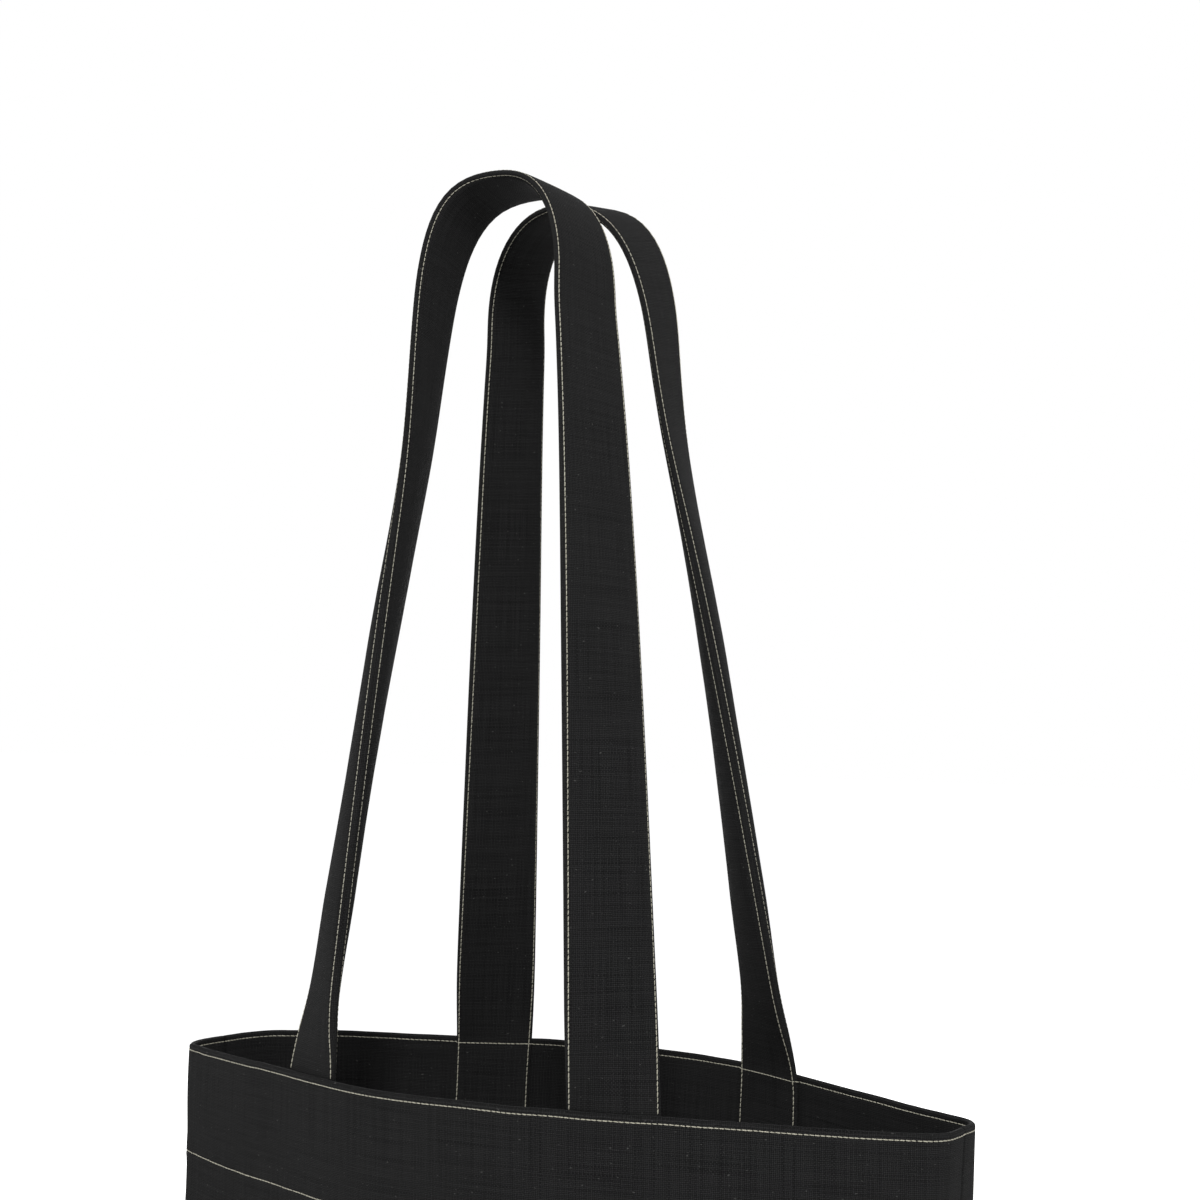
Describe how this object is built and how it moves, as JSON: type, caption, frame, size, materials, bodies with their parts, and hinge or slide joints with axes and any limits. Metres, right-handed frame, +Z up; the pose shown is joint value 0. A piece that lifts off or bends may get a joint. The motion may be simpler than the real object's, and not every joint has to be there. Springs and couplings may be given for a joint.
{
  "type": "canvas tote bag",
  "caption": "Open canvas tote bag with a boxed bottom, a turned-in hem, contrast stitching and long padded shoulder handles that fold over the rim.",
  "frame": {"origin": "the middle of the flat bottom that the bag stands on", "axes": "+Z up, X along the panels, the front panel faces -Y"},
  "size_m": [0.343, 0.1592, 0.721],
  "materials": {
    "bag_canvas": "black plain-weave cotton canvas",
    "strap_canvas": "black plain-weave cotton canvas",
    "contrast_thread": "cream sewing thread",
    "overlock_thread": "black overlock thread",
    "wadding": "white cotton wadding"
  },
  "bodies": {
    "bag": {"front_panel": "bag_canvas", "back_panel": "bag_canvas", "front_hem": "bag_canvas", "back_hem": "bag_canvas", "left_side_seam_allowance": "bag_canvas", "right_side_seam_allowance": "bag_canvas", "left_side_overlock": "overlock_thread", "right_side_overlock": "overlock_thread", "bottom_seam_allowance": "bag_canvas", "bottom_overlock": "overlock_thread", "left_corner_seam_allowance": "bag_canvas", "right_corner_seam_allowance": "bag_canvas", "front_handle_left_end": "strap_canvas", "front_handle_right_end": "strap_canvas", "front_handle_end_stitches": "contrast_thread", "front_rim_topstitch": "contrast_thread", "front_hem_stitch": "contrast_thread", "back_handle_left_end": "strap_canvas", "back_handle_right_end": "strap_canvas", "back_handle_end_stitches": "contrast_thread", "back_rim_topstitch": "contrast_thread", "back_hem_stitch": "contrast_thread"},
    "front_handle": {"front_handle": "strap_canvas", "front_handle_wadding": "wadding", "front_handle_stitches": "contrast_thread"},
    "back_handle": {"back_handle": "strap_canvas", "back_handle_wadding": "wadding", "back_handle_stitches": "contrast_thread"}
  },
  "joints": [
    {"name": "front_handle_swing", "type": "hinge", "parent": "bag", "child": "front_handle", "pos_m": [0, -0.074, 0.374], "axis": [1, 0, 0], "range_deg": [0, 170]},
    {"name": "back_handle_swing", "type": "hinge", "parent": "bag", "child": "back_handle", "pos_m": [0, 0.074, 0.374], "axis": [-1, 0, 0], "range_deg": [0, 170]}
  ]
}
